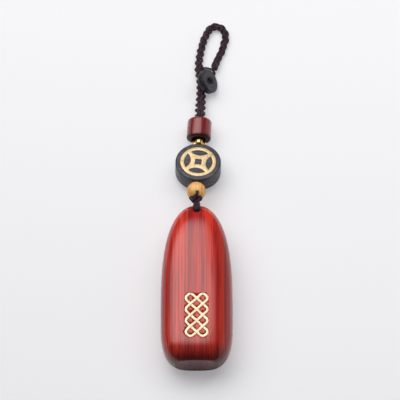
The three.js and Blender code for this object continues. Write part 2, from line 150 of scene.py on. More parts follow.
# %% Thread material
thread = new_finish("thread", Roughness=0.6, Specular_IOR_Level=0.3, Sheen_Weight=0.06, Sheen_Roughness=0.4)
thread_map = add_node(thread, "ShaderNodeUVMap", {}, uv_map="along").outputs["UV"]
parts = add_node(thread, "ShaderNodeSeparateXYZ", {"Vector": thread_map})
turns = maths(thread, "MULTIPLY", parts.outputs["X"], 3.0)
climb = maths(thread, "MULTIPLY", parts.outputs["Y"], 1.1)
fibre_phase = maths(thread, "MULTIPLY", maths(thread, "ADD", turns, climb), 2 * math.pi)
fibre = maths(thread, "MULTIPLY_ADD", maths(thread, "SINE", fibre_phase), 0.5, 0.5)
flecks = noise(thread, object_place(thread), 1000, 3)
mixed = maths(thread, "MULTIPLY_ADD", fibre, 0.35, maths(thread, "MULTIPLY", flecks, 0.75))
into_shader(thread, "Base Color", add_ramp(thread, mixed, [
    (0.3, (0.005, 0.003, 0.007)), (0.5, (0.02, 0.012, 0.02)), (0.64, (0.042, 0.03, 0.044)),
    (0.8, (0.17, 0.06, 0.06)),
]))
add_bump(thread, fibre, 0.0001)


# %% [markdown]
# ## Helpers for cords
# A cord starts as a few given points. A smooth curve runs through them, and every thread of a braid
# or a twist is a line that winds round that curve. One mesh then gets a tube along each of those lines.


# %% Cord helpers
def smooth_line(points, step):
    p = [Vector(q) * mm for q in points]
    p = [2 * p[0] - p[1], *p, 2 * p[-1] - p[-2]]
    line = []
    for a, b, c, d in zip(p, p[1:], p[2:], p[3:]):
        before, here, after = ((v - u).length ** 0.5 for u, v in ((a, b), (b, c), (c, d)))
        leave = ((b - a) / before - (c - a) / (before + here) + (c - b) / here) * here
        arrive = ((c - b) / here - (d - b) / (here + after) + (d - c) / after) * here
        count = max(2, round((c - b).length / (step * mm)))
        for t in (i / count for i in range(count)):
            line.append(
                b * (2 * t**3 - 3 * t**2 + 1) + leave * (t**3 - 2 * t**2 + t)
                + c * (3 * t**2 - 2 * t**3) + arrive * (t**3 - t**2)
            )
    return [*line, p[-2]]


def stations(line):
    """For each point of a line: the distance from its start, the point, and the directions along, aside and up."""
    found = []
    far = 0
    for i, here in enumerate(line):
        far += (here - line[i - 1]).length if i else 0
        along = (line[min(i + 1, len(line) - 1)] - line[max(i - 1, 0)]).normalized()
        aside = along.cross(Vector((0, 0, 1)))
        if found and aside.length < 0.3:
            aside = found[-1][3] - along * found[-1][3].dot(along)
        aside = aside.normalized()
        if found and aside.dot(found[-1][3]) < 0:
            aside = -aside
        found.append((far, here, along, aside, aside.cross(along)))
    return found


def even(place):
    return 1


def twisted(line, plies, offset, pitch, thickness=even):
    """The lines of a few plies twisted round a line."""
    rows = [[] for _ in range(plies)]
    for far, here, _, aside, up in stations(line):
        for k, row in enumerate(rows):
            turn = 2 * math.pi * (far / pitch + k / plies)
            away = offset * thickness(here / mm)
            row.append(here + (aside * math.cos(turn) + up * math.sin(turn)) * away)
    return rows


def thread_piece(name, lines, radius, body, replaced, sides=8, thickness=even):
    """One mesh with a round tube along every line, its ends rounded."""
    shape = bmesh.new()
    along_map = shape.loops.layers.uv.new("along")
    for number, line in enumerate(lines):
        rings = []
        last = len(line) - 1
        for i, (far, here, along, aside, up) in enumerate(stations(line)):
            thick = radius * (0.45 if i in (0, last) else 0.85 if i in (1, last - 1) else 1)
            thick *= thickness(here / mm)
            angles = [2 * math.pi * k / sides for k in range(sides)]
            ring = [shape.verts.new(here + (aside * math.cos(a) + up * math.sin(a)) * thick) for a in angles]
            rings.append((far / mm + 7.3 * number, ring))
        for (low, near), (high, next_ring) in zip(rings, rings[1:]):
            for k in range(sides):
                j = (k + 1) % sides
                face = shape.faces.new((near[k], near[j], next_ring[j], next_ring[k]))
                places = ((k, low), (k + 1, low), (k + 1, high), (k, high))
                for loop, (around, up_to) in zip(face.loops, places):
                    loop[along_map].uv = (around / sides, up_to)
        shape.faces.new(list(reversed(rings[0][1])))
        shape.faces.new(rings[-1][1])
    bmesh.ops.recalc_face_normals(shape, faces=shape.faces)
    mesh = bpy.data.meshes.new(name)
    shape.to_mesh(mesh)
    shape.free()
    for face in mesh.polygons:
        face.use_smooth = True
    piece = bpy.data.objects.new(name, mesh)
    bpy.context.scene.collection.objects.link(piece)
    piece.data.materials.append(thread)
    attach(piece, body)
    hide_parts(*replaced)
    print(name, "faces:", len(mesh.polygons))
    return piece


# %% [markdown]
# ## The braided rope
# The rope is a flat plait of three round strands, each of three threads. In a plait every strand swings
# from side to side, and goes over and under the others twice as fast. So a sine moves it sideways, a sine
# of twice the angle lifts it, and the three strands are a third of a turn apart. A little of the third
# harmonic makes the turns at the edges tighter, which gives the rope its round lobes. The plait is widest and
# slackest near the barrel bead and narrows where the loop comes back, as in the photograph.

# %% Rope
rope_start = Vector((1.4471, 95.5003, 5))
rope_route = [
    (-0.25, -1.75, 3.75), (-0.15, 0, 3.6), (0, 3, 2.6), (0.2, 6.6, 1.2), (0.35, 10.7, 0.5), (0.35, 14.7, 0.42),
    (0.1, 18.7, 0.3), (-0.55, 21.9, 0.2), (-0.6, 24.3, 0.1), (-0.4, 27.1, 0), (0.1, 30.5, 0), (0.9, 34, 0),
    (1.6, 36.6, 0), (2.6, 38.7, 0), (3.8, 41, 0), (5.5, 42.3, 0), (7.6, 42.3, 0), (9.5, 41, 0),
    (10.5, 38.7, 0), (10.55, 36.4, 0), (9.85, 34.3, 0), (9.25, 31.6, 0), (8.05, 28.9, 0.1), (7.0, 26.4, 0.4),
    (6.25, 24, 0.9), (5.9, 22.7, 1.15), (5.75, 22.1, 1.2),
]
rope_line = smooth_line([(rope_start.x + x, rope_start.y + y, z + 1.4) for x, y, z in rope_route], 0.25)
rope_stations = stations(rope_line)
rope_length = rope_stations[-1][0]
rope_widths = [
    (0, 0.9), (1.5, 1.25), (9, 1.22), (15, 1.13), (22, 1.03), (30, 0.94),
    (46, 0.97), (54, 0.88), (65, 0.88), (69, 0.96), (72, 0.7),
]


def rope_share(place):
    """How wide the plait is at a place in millimetres, as a share of its full width."""
    far = min(rope_stations, key=lambda station: (station[1] / mm - place).length)[0] / mm
    for (low, first), (high, second) in zip(rope_widths, rope_widths[1:]):
        if far <= high:
            return first + (second - first) * (far - low) / (high - low)
    return second


def plait(line):
    """The middle lines of three strands that are plaited flat."""
    rows = [[], [], []]
    phase = before = 0
    for far, here, _, aside, up in stations(line):
        period = 8.4 * mm + 3 * mm * max(0, 1 - far / (14 * mm))
        phase += 2 * math.pi * (far - before) / period
        before = far
        share = rope_share(here / mm) * mm
        for strand, row in enumerate(rows):
            turn = phase + 2 * math.pi * strand / 3
            swing = 0.86 * (math.sin(turn) - 0.12 * math.sin(3 * turn))
            row.append(here + aside * swing * share + up * 0.48 * share * math.sin(2 * turn))
    return rows


rope_threads = []
for strand in plait(rope_line):
    rope_threads += twisted(strand, 3, 0.42 * mm, 11 * mm, rope_share)
rope = thread_piece("rope", rope_threads, 0.47 * mm, "rope", ["braided_rope"], thickness=rope_share)
print("rope length:", round(rope_length, 4), "m")

# %% [markdown]
# ## The closure's thin cords
# A thin twisted cord leaves the rope's end, runs round the button's edge and in at its back. Another one
# makes the loop on the stem that the button passes through. Both are two plies twisted together.

# %% Thin cords
neck_route = [
    (5.66, 21.7, 1.9), (5.55, 21.3, 1.75), (5.35, 20.8, 1.45), (5.2, 20.4, 1.15), (4.7, 19.9, 0.8),
    (3.9, 19.5, 0.7),
]
under_button = [
    (3.3, 3.3, -2.15), (2.4, 2.5, -2.18), (1.7, 1.6, -1.98), (1.05, 0.95, -1.5), (0.4, 0.35, -0.95),
    (0, 0, 0), (0, 0, 0.625), (0, 0, 1.4),
]
loop_route = [
    (0.7, 23.2, 1.7), (2.1, 23.35, 1.75), (3.5, 23.35, 1.3), (4.8, 23.0, 0.75), (5.7, 22.3, 0.5), (6.05, 21.4, 0.55),
    (6.0, 20.65, 1.1), (5.75, 20.35, 1.8), (5.25, 20.6, 2.3), (4.3, 21.0, 2.45), (3.3, 21.6, 2.35),
    (2.1, 22.3, 2.05), (0.7, 22.6, 1.9),
]
button_frame = Matrix.Translation((4.5471, 111.2504, 4.8417)) @ (
    Matrix.Rotation(math.radians(4), 4, "Z") @ Matrix.Rotation(math.radians(54), 4, "Y")
)


def beside_rope(route):
    return [(rope_start.x + x, rope_start.y + y, z) for x, y, z in route]


neck_points = [*beside_rope(neck_route), *(button_frame @ Vector(p) for p in under_button)]
neck = twisted(smooth_line(neck_points, 0.12), 2, 0.21 * mm, 1.9 * mm)
neck_cord = thread_piece("neck_twist", neck, 0.25 * mm, "rope", ["neck_cord"], sides=6)
loop_threads = twisted(smooth_line(beside_rope(loop_route), 0.12), 2, 0.21 * mm, 1.9 * mm)
loop_cord = thread_piece("loop_twist", loop_threads, 0.25 * mm, "rope", ["buttonhole_loop"], sides=6)

# %% [markdown]
# ## Knots
# An overhand knot is a trefoil: one line that crosses itself three times. The formula of a trefoil, with a
# doubled thread along it and a little flattening, gives the lumps that a real knot shows.


# %% Knots
def trefoil(place, turn, scale, plies, offset, pitch):
    line = []
    for i in range(97):
        t = 2 * math.pi * i / 96
        x, y, z = math.sin(t) + 2 * math.sin(2 * t), math.cos(t) - 2 * math.cos(2 * t), -math.sin(3 * t)
        line.append(place + turn @ (Vector((x * scale[0], y * scale[1], z * scale[2])) * mm))
    return twisted(line, plies, offset, pitch)


hang_knot_place = Vector((-0.4, 53.85, 12.6)) * mm
facing_camera = Matrix.Rotation(math.radians(24), 3, "X")
knot_threads = trefoil(hang_knot_place, facing_camera, (0.72, 0.44, 0.56), 3, 0.42 * mm, 7 * mm)
knot = thread_piece("tied_knot", knot_threads, 0.44 * mm, "bead_string", ["hang_knot"])

tail_route = [(-0.15, 54.3, 14.1), (0.1, 55.4, 14.7), (0.2, 56.9, 14.5)]
tail_threads = twisted(smooth_line(tail_route, 0.15), 3, 0.36 * mm, 6 * mm)
tail = thread_piece("tail_end", tail_threads, 0.4 * mm, "bead_string", ["knot_tail"])

button_turn = button_frame.to_3x3()
button_knot_place = button_frame @ Vector((0, 0, 1.95)) * mm
small_knot = trefoil(button_knot_place, button_turn, (0.4, 0.4, 0.45), 2, 0.2 * mm, 3 * mm)
button_knot = thread_piece("button_tie", small_knot, 0.21 * mm, "rope", ["button_knot"], sides=6)

# %% [markdown]
# ## The hang cord and the strands
# Two twisted cords run from the knot through the tablet's hole and back round its tip, and the hole presses
# them thinner. Three thin strands carry the beads: bundled in the bores, spread where each one has its own gold
# bead. The round bead, the disc and the gold beads sit a few tenths of a millimetre nearer to the knot than in
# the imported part, as in the photograph, but only as far as they stay clear of each other.

# %% Hang cords and strands
hang_route = [
    (0.05, 4), (-1.3, 4.65), (-2.4, 5), (-3.15, 4.65), (-3.4, 3.8), (-3.4, 0), (-3.4, -3.8), (-3.15, -4.7),
    (-2.4, -5.1), (-1.1, -4.8), (0.15, -4.1), (1.05, -2.7), (1.45, -1.2), (1.5, 0.1), (1.5, 1.4),
]
pressed_from, most_pressed = 13.6, 0.36


def snug(place):
    """How thick the cord is at a place in millimetres: full in front, pressed thinner in the hole and behind."""
    return 1 - most_pressed * min(1, max(0, pressed_from - place.z))


for side, node in ((-1, "hang_cord_left"), (1, "hang_cord_right")):
    cord_line = smooth_line([(side * 0.7, 52 + y, 9 + z) for y, z in hang_route], 0.2)
    hang_threads = twisted(cord_line, 3, 0.42 * mm, 5 * mm * side, snug)
    thread_piece(f"{node}_twist", hang_threads, 0.43 * mm, "hanger", [node], thickness=snug)


def string_frame(place, along):
    """A frame whose Y runs along the string, in millimetres."""
    along = Vector(along).normalized()
    aside = along.cross(Vector((0, 0, 1))).normalized()
    turn = Matrix((aside, along, aside.cross(along))).transposed()
    return Matrix.Translation(place) @ turn.to_4x4()


round_frame = string_frame((-0.1841, 58.7716, 9.7543), (0.0419, 0.8781, -0.4767))
disc_frame = string_frame((0.5785, 71.7161, 5.5832), (0.0596, 0.9745, -0.2164))
gold_frame = string_frame((0.9575, 83.0009, 4.1245), (0.061, 0.9981, 0))
barrel_frame = string_frame((1.0564, 89.1123, 5), (0.061, 0.9981, 0))
strand_stations = [
    (round_frame, -4, 0.6), (round_frame, 0, 0.6), (round_frame, 3.2, 0.6), (disc_frame, -8.7, 0.6),
    (disc_frame, 0, 0.6), (disc_frame, 5.7, 0.6), (disc_frame, 6.5, 0.6), (disc_frame, 8, 1.15),
    (gold_frame, -1.3, 1.7), (gold_frame, 0, 1.7), (gold_frame, 1.3, 1.7), (barrel_frame, -2.7, 1.15),
    (barrel_frame, -1.2, 0.6), (barrel_frame, -0.4, 0.6), (barrel_frame, 5.2, 0.45),
]
for number, angle in enumerate((90, 210, 330), 1):
    around = math.radians(angle)
    route = [f @ Vector((r * math.cos(around), y, r * math.sin(around))) for f, y, r in strand_stations]
    plies = twisted(smooth_line(route, 0.25), 2, 0.19 * mm, 2.2 * mm)
    thread_piece(f"strand_{number}_twist", plies, 0.21 * mm, "bead_string", [f"strand_{number}"], sides=6)

# %% [markdown]
# ## Helpers for solid pieces
# The wooden and metal pieces are turned and cut. Each starts as a primitive of its size, cuts come from
# Boolean modifiers, and most sharp edges are bevelled, because no real edge is perfectly sharp.


# %% Modelling helpers
def only(piece):
    if bpy.context.mode != "OBJECT":
        bpy.ops.object.mode_set(mode="OBJECT")
    bpy.ops.object.select_all(action="DESELECT")
    piece.select_set(True)
    bpy.context.view_layer.objects.active = piece


def newly_added(name):
    piece = bpy.context.object
    only(piece)
    piece.name = name
    bpy.ops.object.transform_apply(location=True, rotation=True, scale=True)
    return piece


def bar(radius, length, along="Y", place=(0, 0, 0), count=48, far_radius=None):
    """A cylinder or cone in millimetres, along Y or Z."""
    bpy.ops.object.select_all(action="DESELECT")
    turn = {"Y": (-math.pi / 2, 0, 0), "Z": (0, 0, 0)}[along]
    far_radius = radius if far_radius is None else far_radius
    bpy.ops.mesh.primitive_cone_add(
        vertices=count, radius1=radius * mm, radius2=far_radius * mm, depth=length * mm,
        location=Vector(place) * mm, rotation=turn,
    )
    return newly_added("tool")


def combine(piece, tool, operation="DIFFERENCE"):
    only(piece)
    change = piece.modifiers.new("combine", "BOOLEAN")
    change.object = tool
    change.operation = operation
    change.solver = "EXACT"
    bpy.ops.object.modifier_apply(modifier=change.name)
    bpy.data.objects.remove(tool)


def soften(piece, width, segments=3, angle=35, where=None):
    """Bevels the sharp edges of a piece, or those at a place."""
    only(piece)
    bpy.ops.object.mode_set(mode="EDIT")
    bpy.ops.mesh.select_mode(type="EDGE")
    bpy.ops.mesh.select_all(action="DESELECT")
    bpy.ops.mesh.edges_select_sharp(sharpness=math.radians(angle))
    if where:
        shape = bmesh.from_edit_mesh(piece.data)
        for edge in shape.edges:
            if edge.select and not where((edge.verts[0].co + edge.verts[1].co) / 2 / mm):
                edge.select_set(False)
        bmesh.update_edit_mesh(piece.data)
    bpy.ops.mesh.bevel(offset=width * mm, segments=segments, affect="EDGES", clamp_overlap=True)
    bpy.ops.object.mode_set(mode="OBJECT")


def finished(piece, name, place, finish, body, node, angle=35):
    """Puts a finished piece at its place and joins it to its body."""
    only(piece)
    piece.name = name
    place = place.copy()
    place.translation *= mm
    piece.data.transform(place)
    bpy.ops.object.shade_smooth_by_angle(angle=math.radians(angle))
    piece.data.materials.clear()
    piece.data.materials.append(finish)
    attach(piece, body)
    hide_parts(node)
    print(name, "faces:", len(piece.data.polygons))
    return piece


# %% [markdown]
# ## Lacquered wood
# The tablet is red rosewood under a clear glossy lacquer. The grain runs along the tablet, so noise that
# is stretched along Y draws it: broad bands, fine streaks and short dark pores. The coat of the shader is
# the lacquer, and it stays smooth over the grain.


# %% Wood finishes
def wood_finish(name, dark, middle, light, pore, along=(1, 0.013, 0.6), size=1.0, **sockets):
    wood = new_finish(name, **sockets)
    grain_place = object_place(wood, along)
    bands = noise(wood, grain_place, 320 * size, 3, 0.2)
    streaks = noise(wood, grain_place, 1300 * size, 4)
    blend = maths(wood, "ADD", maths(wood, "MULTIPLY", bands, 0.5), maths(wood, "MULTIPLY", streaks, 0.5))
    colour = add_ramp(wood, blend, [(0.4, dark), (0.5, middle), (0.6, light)])
    pores = noise(wood, object_place(wood, (1, 0.016, 0.2)), 2000 * size, 1)
    pores = add_ramp(wood, pores, [(0.6, (0, 0, 0)), (0.7, (0.85, 0.85, 0.85))])
    shade = add_node(wood, "ShaderNodeMix", {"Factor": pores, 6: colour, 7: (*pore, 1)}, data_type="RGBA")
    into_shader(wood, "Base Color", shade.outputs[2])
    add_bump(wood, maths(wood, "SUBTRACT", streaks, pores), 0.02 * mm)
    return wood


lacquered = wood_finish(
    "lacquered rosewood", (0.3, 0.005, 0.004), (0.52, 0.013, 0.009), (0.7, 0.04, 0.017), (0.12, 0.004, 0.005),
    along=(1, 0.006, 0.1), Roughness=0.45, Specular_IOR_Level=0.2, Coat_Weight=1.0, Coat_Roughness=0.08, Coat_IOR=1.52,
)


def darken(wood, axis, dark_at, clear_at, share):
    """The colour falls to a share of itself between two places along an axis, in millimetres."""
    colour = wood.node_tree.nodes["Principled BSDF"].inputs["Base Color"].links[0].from_socket
    (low_place, low), (high_place, high) = sorted([(dark_at * mm, share), (clear_at * mm, 1.0)])
    factor = ramp_along(wood, axis, low_place, high_place, low, high)
    darker = add_node(wood, "ShaderNodeVectorMath", {0: colour, "Scale": factor}, operation="SCALE").outputs[0]
    into_shader(wood, "Base Color", darker)


# Darker over the rounded end and the sawn end face: partly the darker end grain, partly painted shade where the end
# turns away from the light.
darken(lacquered, "Y", -19, -12, 0.22)
# Painted shade down the left and the right side of the tablet, where its faces turn away from the light.
darken(lacquered, "X", -14.5, -9.5, 0.75)
darken(lacquered, "X", 9.5, 6, 0.7)
print("finish:", lacquered.name)

# %% [markdown]
# ## The tablet
# The real tablet is a sawn block that is rounded over its length, with a flat end and a soft tip. Its
# section is a superellipse, between an ellipse and a rectangle. A vertex bevel of a square gives exactly
# that curve. The section is then extruded ring by ring, and each ring is scaled to its share of the widest one.

# %% Tablet body
half_wide, half_deep, middle_z = 15, 9.35, 9
end_y, tip_y = -20, 52.2


def tablet_share(y):
    if y < 0:
        return (1 - 0.805 * (y / end_y) ** 3.2) ** (1 / 3.2)
    return (1 - (y / tip_y) ** 3.2) ** (1 / 2.1)


def choose(piece, wanted, kind="verts"):
    """In edit mode, selects the points or faces whose middle in millimetres passes a test."""
    bpy.ops.mesh.select_mode(type={"verts": "VERT", "faces": "FACE"}[kind])
    bpy.ops.mesh.select_all(action="DESELECT")
    shape = bmesh.from_edit_mesh(piece.data)
    for item in getattr(shape, kind):
        middle = item.co if kind == "verts" else item.calc_center_median()
        item.select_set(bool(wanted(middle / mm)))
    shape.select_flush_mode()
    bmesh.update_edit_mesh(piece.data)


bpy.ops.object.select_all(action="DESELECT")
bpy.ops.mesh.primitive_plane_add(size=2, rotation=(math.pi / 2, 0, 0))
tablet = newly_added("tablet_body")
bpy.ops.object.mode_set(mode="EDIT")
bpy.ops.mesh.select_all(action="SELECT")
bpy.ops.mesh.bevel(offset=1, segments=24, profile=2 ** (-2 / 2.7), affect="VERTICES")
bpy.ops.mesh.remove_doubles(threshold=0.001)
rings = [end_y * (1 - i / 16) for i in range(16)] + [tip_y * (1 - (1 - i / 46) ** 1.7) for i in range(46)]
share = tablet_share(rings[0])
bpy.ops.transform.resize(value=(half_wide * mm * share, 1, half_deep * mm * share), center_override=(0, 0, 0))
bpy.ops.transform.translate(value=Vector((0, end_y, middle_z)) * mm)
for before, y in zip(rings, rings[1:]):
    bpy.ops.mesh.extrude_region_move(TRANSFORM_OT_translate={"value": (0, (y - before) * mm, 0)})
    grow = tablet_share(y) / tablet_share(before)
    bpy.ops.transform.resize(value=(grow, 1, grow), center_override=Vector((0, y, middle_z)) * mm)
bpy.ops.mesh.extrude_region_move(TRANSFORM_OT_translate={"value": (0, (tip_y - rings[-1]) * mm, 0)})
bpy.ops.mesh.merge(type="CENTER")
bpy.ops.mesh.select_all(action="SELECT")
bpy.ops.mesh.normals_make_consistent(inside=False)
print("tablet rings:", len(rings))

# %% [markdown]
# ## Flat faces and a crisp end
# The front and the back are sanded flat. Scaling the highest points to nothing in Z does the same, and a
# weaker scale just below them keeps the change soft. The end face is sawn flat, and its edge is only eased.

# %% Tablet faces
for side in (1, -1):
    for level, keep in ((8.85, 0.6), (9, 0)):
        choose(tablet, lambda p: (p.z - middle_z) * side > level)
        centre = (0, 0, (middle_z + side * level) * mm)
        bpy.ops.transform.resize(value=(1, 1, keep), center_override=centre)
choose(tablet, lambda p: p.y < end_y + 0.01, "faces")
bpy.ops.mesh.region_to_loop()
bpy.ops.mesh.bevel(offset=0.4 * mm, segments=4, affect="EDGES")
choose(tablet, lambda p: p.y < end_y + 0.01, "faces")
bpy.ops.mesh.inset(thickness=0.4 * mm)
bpy.ops.object.mode_set(mode="OBJECT")

# %% [markdown]
# ## The hole and the pocket
# The hang hole is drilled from front to back near the tip, and its rim is eased so that it doesn't cut the
# cord. The ornament lies in a shallow pocket with its own outline, so a slightly grown copy of the ornament
# is the cutter.


# %% Hole and pocket
def grown_copy(node, by):
    """A merged copy of a node of the part, larger all round by some millimetres."""
    tool = bpy.data.objects[node].copy()
    tool.data = tool.data.copy()
    bpy.context.scene.collection.objects.link(tool)
    tool.hide_set(False)
    only(tool)
    bpy.ops.object.mode_set(mode="EDIT")
    bpy.ops.mesh.select_all(action="SELECT")
    bpy.ops.mesh.remove_doubles(threshold=0.002 * mm)
    bpy.ops.transform.shrink_fatten(value=by * mm, use_even_offset=True)
    bpy.ops.object.mode_set(mode="OBJECT")
    return tool


hole_y = 48.6
combine(tablet, bar(1.4, 30, "Z", (0, hole_y, middle_z)))
soften(tablet, 0.3, 4, 35, lambda p: p.x**2 + (p.y - hole_y) ** 2 < 1.6**2)
combine(tablet, grown_copy("gold_knot_inlay", 0.12))
finished(tablet, "tablet_body", Matrix(), lacquered, "tablet", "pendant_body", 30)

# %% [markdown]
# ## Gilding
# The ornament and the coin are pale gold with a satin face. They are only partly metallic in the shader,
# because a fully metallic face would mirror the softbox as plain white. Fine noise breaks up the gloss.

# %% Gilding material
def gilded(name, worn_gold, gold, bright_gold):
    finish = new_finish(name, Metallic=0.45)
    worn = noise(finish, object_place(finish), 900, 4)
    stops = [(0.3, worn_gold), (0.46, gold), (0.7, bright_gold)]
    into_shader(finish, "Base Color", add_ramp(finish, worn, stops))
    into_shader(finish, "Roughness", maths(finish, "MULTIPLY_ADD", worn, 0.3, 0.3))
    add_bump(finish, noise(finish, object_place(finish), 3500, 2), 0.00001)
    return finish


gilding = gilded("pale gilding", (0.76, 0.54, 0.27), (0.93, 0.77, 0.5), (0.97, 0.87, 0.66))
coin_gold = gilded("coin gold", (0.66, 0.4, 0.17), (0.84, 0.62, 0.33), (0.92, 0.74, 0.46))

# %% [markdown]
# ## The ornament
# The ornament is an endless knot: two closed ribbons that run at 45 degrees and turn at the border. It is
# swept: a small rounded rectangle is extruded from point to point along each ribbon's path, and turned with
# it. The ribbon that rises to the right goes over the other one at every second crossing.

# %% Ornament
cell = 2.53566
knot_low = Vector((-2 * cell, -0.9287 - 4 * cell, 0))
ribbon_corners = [(0, 1), (4, 5), (1, 8), (0, 7), (4, 3), (1, 0)]


def ribbon_path(corners, radius=1.5, step=0.35):
    """Points along a closed path with rounded corners."""
    path = []
    count = len(corners)
    for i, corner in enumerate(corners):
        here = knot_low + Vector((*corner, 0)) * cell
        arrive = (here - knot_low - Vector((*corners[i - 1], 0)) * cell).normalized()
        leave = (knot_low + Vector((*corners[(i + 1) % count], 0)) * cell - here).normalized()
        turn = arrive.angle(leave)
        cut = radius * math.tan(turn / 2)
        first, last = here - arrive * cut, here + leave * cut
        if path:
            pieces = max(1, round((first - path[-1]).length / step))
            path += [path[-1].lerp(first, k / pieces) for k in range(1, pieces)]
        centre = here + (leave - arrive).normalized() * radius / math.cos(turn / 2)
        pieces = max(3, round(radius * turn / step))
        for k in range(pieces + 1):
            spread = (k / pieces - 0.5) * turn
            out = (arrive - leave).normalized()
            along = (arrive + leave).normalized()
            path.append(centre + out * radius * math.cos(spread) + along * radius * math.sin(spread))
    pieces = round((path[0] - path[-1]).length / step)
    return path + [path[-1].lerp(path[0], k / pieces) for k in range(1, pieces)]


def ribbon_lift(place, rises):
    x, y, _ = (place - knot_low) / cell
    inside = min(1, max(0, 2.2 * min(x, 4 - x, y, 8 - y)))
    return (-1 if rises else 1) * math.cos(math.pi * x) * 0.13 * inside


def swept_ribbon(path, width, height, middle):
    """A rounded strip along a closed path, made by extruding its section from point to point."""
    ways = [(b - a).normalized() for a, b in zip([path[-1], *path], path)]
    ways = [(a + b).normalized() for a, b in zip(ways, [*ways[1:], ways[0]])]
    places = [p + Vector((0, 0, middle + ribbon_lift(p, w.x * w.y > 0))) for p, w in zip(path, ways)]
    bpy.ops.object.select_all(action="DESELECT")
    bpy.ops.mesh.primitive_plane_add(size=2, rotation=(math.pi / 2, 0, math.atan2(-ways[0].x, ways[0].y)))
    strip = newly_added("strip")
    heading = math.atan2(ways[0].y, ways[0].x)
    across = Vector((-ways[0].y, ways[0].x, 0))
    for vertex in strip.data.vertices:
        vertex.co = across * vertex.co.dot(across) * width / 2 + Vector((0, 0, vertex.co.z * height / 2))
        vertex.co = (vertex.co + places[0]) * mm
    bpy.ops.object.mode_set(mode="EDIT")
    bpy.ops.mesh.select_all(action="SELECT")
    bpy.ops.mesh.bevel(offset=0.16 * mm, segments=3, affect="VERTICES")
    for before, here, old, new in zip(places, [*places[1:], places[0]], ways, [*ways[1:], ways[0]]):
        bpy.ops.mesh.extrude_region_move(TRANSFORM_OT_translate={"value": (here - before) * mm})
        turn = old.to_2d().angle_signed(new.to_2d())
        bpy.ops.transform.rotate(value=turn, orient_axis="Z", center_override=here * mm)
    bpy.ops.mesh.select_face_by_sides(number=4, type="GREATER")
    bpy.ops.mesh.delete(type="ONLY_FACE")
    bpy.ops.mesh.select_all(action="SELECT")
    bpy.ops.mesh.remove_doubles(threshold=0.02 * mm)
    bpy.ops.mesh.normals_make_consistent(inside=False)
    bpy.ops.object.mode_set(mode="OBJECT")
    return strip


first_ribbon = swept_ribbon(ribbon_path(ribbon_corners), 1.1, 0.5, 17.8)
second_corners = [(4 - x, y) for x, y in ribbon_corners]
second_ribbon = swept_ribbon(ribbon_path(second_corners), 1.1, 0.5, 17.8)
print("ribbon faces:", len(first_ribbon.data.polygons), len(second_ribbon.data.polygons))

only(first_ribbon)
second_ribbon.select_set(True)
bpy.ops.object.join()
finished(first_ribbon, "knot_ribbons", Matrix(), gilding, "tablet", "gold_knot_inlay", 50)

# %% [markdown]
# ## Turned wooden beads
# The round bead is a ball of orange wood, the barrel a short cylinder of crimson wood, and the disc and the
# button are ebony. All four are drilled, and the bore's rim is eased so that it doesn't cut the cord. The near
# end of the barrel is bare end grain, so it hardly shines, and its colour is darker there: partly the darker end
# grain, partly painted shade where the end faces away from the light.

# %% Wood of the beads
orange_wood = wood_finish(
    "orange wood", (0.76, 0.33, 0.07), (0.9, 0.46, 0.12), (0.97, 0.58, 0.2), (0.56, 0.2, 0.04), size=1.3,
    Roughness=0.42, Coat_Weight=0.6, Coat_Roughness=0.15,
)
crimson_wood = wood_finish(
    "crimson wood", (0.11, 0.005, 0.007), (0.25, 0.01, 0.012), (0.4, 0.02, 0.018), (0.05, 0.004, 0.005), size=1.2,
    Roughness=0.4, Specular_IOR_Level=0.3, Coat_Weight=1.0, Coat_Roughness=0.08,
)
# Painted shade mixed with the darker end grain at the barrel's near end.
darken(crimson_wood, "Y", 85.1, 86, 0.2)
into_shader(crimson_wood, "Coat Weight", ramp_along(crimson_wood, "Y", 85.1 * mm, 85.7 * mm, 0.1, 1.0))
ebony = wood_finish(
    "ebony", (0.015, 0.015, 0.024), (0.033, 0.033, 0.048), (0.068, 0.068, 0.09), (0.008, 0.008, 0.011),
    along=(0.05, 1, 1), size=1.1, Roughness=0.33, Specular_IOR_Level=0.5,
)
button_wood = wood_finish(
    "button ebony", (0.013, 0.013, 0.02), (0.024, 0.024, 0.036), (0.044, 0.045, 0.063), (0.007, 0.007, 0.01),
    along=(0.05, 1, 1), size=1.1, Roughness=0.36, Specular_IOR_Level=0.38,
)
# Painted shade: the colour of the button's left side is made darker.
darken(button_wood, "X", 1.2, 3.4, 0.4)

# %% Round bead
bpy.ops.object.select_all(action="DESELECT")
bpy.ops.mesh.primitive_uv_sphere_add(segments=64, ring_count=40, radius=4 * mm, rotation=(math.pi / 2, 0, 0))
round_bead = newly_added("round_bead")
combine(round_bead, bar(1.2, 20))
soften(round_bead, 0.2, 3, 40)
finished(round_bead, "round_wood_bead", round_frame, orange_wood, "round_bead", "round_bead")


# %% [markdown]
# ## Flat ends
# A rounded rim next to a flat end needs one more ring inside the flat end. Without it, smooth shading would
# bend the light all over the flat face. So each turned cylinder gets a bevel and then an inset.


# %% Turned cylinder
def choose_and_inset(piece, wanted):
    only(piece)
    bpy.ops.object.mode_set(mode="EDIT")
    choose(piece, wanted, "faces")
    bpy.ops.mesh.inset(thickness=0.25 * mm)
    bpy.ops.object.mode_set(mode="OBJECT")


def turned_cylinder(radius, length, rim, along, segments=6, count=96):
    piece = bar(radius, length, along, count=count)
    soften(piece, rim, segments, 60)
    axis = {"Y": 1, "Z": 2}[along]
    choose_and_inset(piece, lambda p: abs(p[axis]) > length / 2 - 0.001)
    return piece


barrel = bar(5.05, 8.8, "Y", (0, -0.2, 0), 96)
soften(barrel, 1.3, 6, 60, lambda p: p.y > 0)
soften(barrel, 0.6, 4, 60, lambda p: p.y < 0)
choose_and_inset(barrel, lambda p: p.y > 4.2 - 0.001 or p.y < -4.6 + 0.001)
combine(barrel, bar(1.2, 20))
combine(barrel, bar(3.1, 3, place=(0, -3.1, 0), far_radius=1.2))
soften(barrel, 0.12, 2, 40)
finished(barrel, "barrel_wood_bead", barrel_frame, crimson_wood, "barrel_bead", "barrel_bead")

